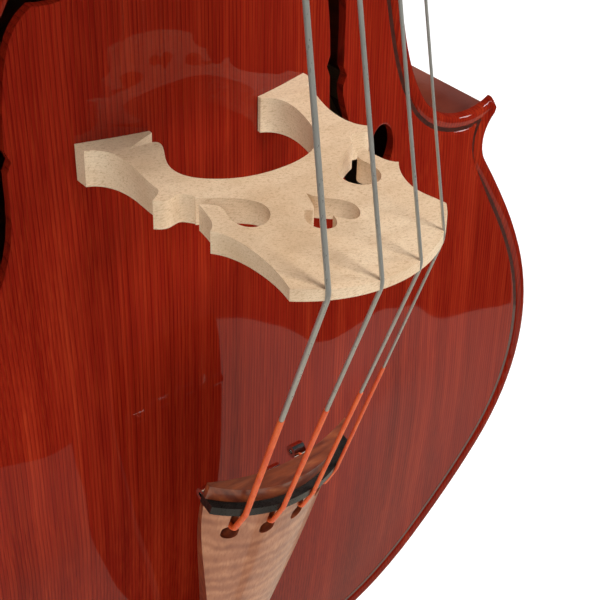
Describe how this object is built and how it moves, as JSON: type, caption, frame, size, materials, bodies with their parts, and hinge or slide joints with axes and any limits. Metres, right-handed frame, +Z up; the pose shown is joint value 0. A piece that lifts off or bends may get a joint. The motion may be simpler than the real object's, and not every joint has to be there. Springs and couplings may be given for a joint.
{
  "type": "double bass",
  "caption": "Violin-form double bass with arched plates, carved scroll, geared tuning machines, high-arched bridge, tailpiece and adjustable endpin.",
  "frame": {"origin": "centre of the flat underside of the rubber tip on the endpin, on the floor", "axes": "+Z up along the instrument towards the scroll; the belly and strings face -Y; +X is the treble (G string) side"},
  "size_m": [0.6558, 0.4324, 1.9919],
  "materials": {
    "belly_spruce": "gloss red-orange varnish",
    "varnished_maple": "gloss red-brown varnish",
    "purfling": "satin",
    "plain_spruce": "bare",
    "bridge_maple": "satin",
    "tailpiece_wood": "semi-gloss",
    "ebony": "polished",
    "string_steel": "flat-wound",
    "string_silk": "wound silk",
    "chrome": "polished",
    "post_steel": "turned",
    "brass": "satin",
    "rubber": "matte"
  },
  "bodies": {
    "body": {"top_plate": "belly_spruce", "back_plate": "varnished_maple", "top_purfling": "purfling", "back_purfling": "purfling", "treble_lower_rib": "varnished_maple", "bass_lower_rib": "varnished_maple", "treble_middle_rib": "varnished_maple", "bass_middle_rib": "varnished_maple", "treble_upper_rib": "varnished_maple", "bass_upper_rib": "varnished_maple", "top_linings": "plain_spruce", "back_linings": "plain_spruce", "neck_block": "plain_spruce", "end_block": "plain_spruce", "corner_blocks": "plain_spruce", "bass_bar": "plain_spruce", "sound_post": "plain_spruce", "end_saddle": "ebony", "bridge": "bridge_maple", "tailpiece": "tailpiece_wood", "tailpiece_fret": "ebony", "tail_wire": "string_steel", "ball_ends": "chrome", "fingerboard": "ebony", "nut": "ebony", "neck": "varnished_maple", "scroll_head": "varnished_maple", "machine_plates": "brass", "plate_screws": "brass", "endpin_collar": "ebony", "e_string": "string_steel", "a_string": "string_steel", "d_string": "string_steel", "g_string": "string_steel", "e_string_silk": "string_silk", "a_string_silk": "string_silk", "d_string_silk": "string_silk", "g_string_silk": "string_silk"},
    "endpin": {"endpin_rod": "chrome", "endpin_tip": "rubber"},
    "endpin_clamp": {"endpin_screw": "chrome"},
    "e_key": {"e_tuning_key": "brass"},
    "e_roller": {"e_post": "post_steel", "e_gear_wheel": "brass", "e_string_winding": "string_silk"},
    "a_key": {"a_tuning_key": "brass"},
    "a_roller": {"a_post": "post_steel", "a_gear_wheel": "brass", "a_string_winding": "string_silk"},
    "d_key": {"d_tuning_key": "brass"},
    "d_roller": {"d_post": "post_steel", "d_gear_wheel": "brass", "d_string_winding": "string_silk"},
    "g_key": {"g_tuning_key": "brass"},
    "g_roller": {"g_post": "post_steel", "g_gear_wheel": "brass", "g_string_winding": "string_silk"}
  },
  "joints": [
    {"name": "endpin_slide", "type": "slide", "parent": "body", "child": "endpin", "axis": [0, 0, -1], "range_m": [-0.055, 0.22]},
    {"name": "endpin_screw_turn", "type": "hinge", "parent": "body", "child": "endpin_clamp", "pos_m": [0, -0.02, 0.11], "axis": [0, -1, 0], "range_deg": [-270, 90]},
    {"name": "e_key_turn", "type": "hinge", "parent": "body", "child": "e_key", "pos_m": [-0.039, -0.03514, 1.72615], "axis": [0, 0.9824, -0.1867], "continuous": true},
    {"name": "e_roller_turn", "type": "hinge", "parent": "body", "child": "e_roller", "pos_m": [0, -0.03075, 1.74923], "axis": [1, 0, 0], "continuous": true},
    {"name": "a_key_turn", "type": "hinge", "parent": "body", "child": "a_key", "pos_m": [-0.039, -0.0217, 1.79688], "axis": [0, 0.9824, -0.1867], "continuous": true},
    {"name": "a_roller_turn", "type": "hinge", "parent": "body", "child": "a_roller", "pos_m": [0, -0.01731, 1.81997], "axis": [1, 0, 0], "continuous": true},
    {"name": "d_key_turn", "type": "hinge", "parent": "body", "child": "d_key", "pos_m": [0.039, -0.01498, 1.83225], "axis": [0, 0.9824, -0.1867], "continuous": true},
    {"name": "d_roller_turn", "type": "hinge", "parent": "body", "child": "d_roller", "pos_m": [0, -0.01059, 1.85533], "axis": [1, 0, 0], "continuous": true},
    {"name": "g_key_turn", "type": "hinge", "parent": "body", "child": "g_key", "pos_m": [0.039, -0.02842, 1.76151], "axis": [0, 0.9824, -0.1867], "continuous": true},
    {"name": "g_roller_turn", "type": "hinge", "parent": "body", "child": "g_roller", "pos_m": [0, -0.02403, 1.7846], "axis": [1, 0, 0], "continuous": true}
  ],
  "couplings": [
    {"joint": "e_roller_turn", "follows": "e_key_turn", "ratio": -0.035714},
    {"joint": "a_roller_turn", "follows": "a_key_turn", "ratio": -0.035714},
    {"joint": "d_roller_turn", "follows": "d_key_turn", "ratio": -0.035714},
    {"joint": "g_roller_turn", "follows": "g_key_turn", "ratio": -0.035714}
  ]
}
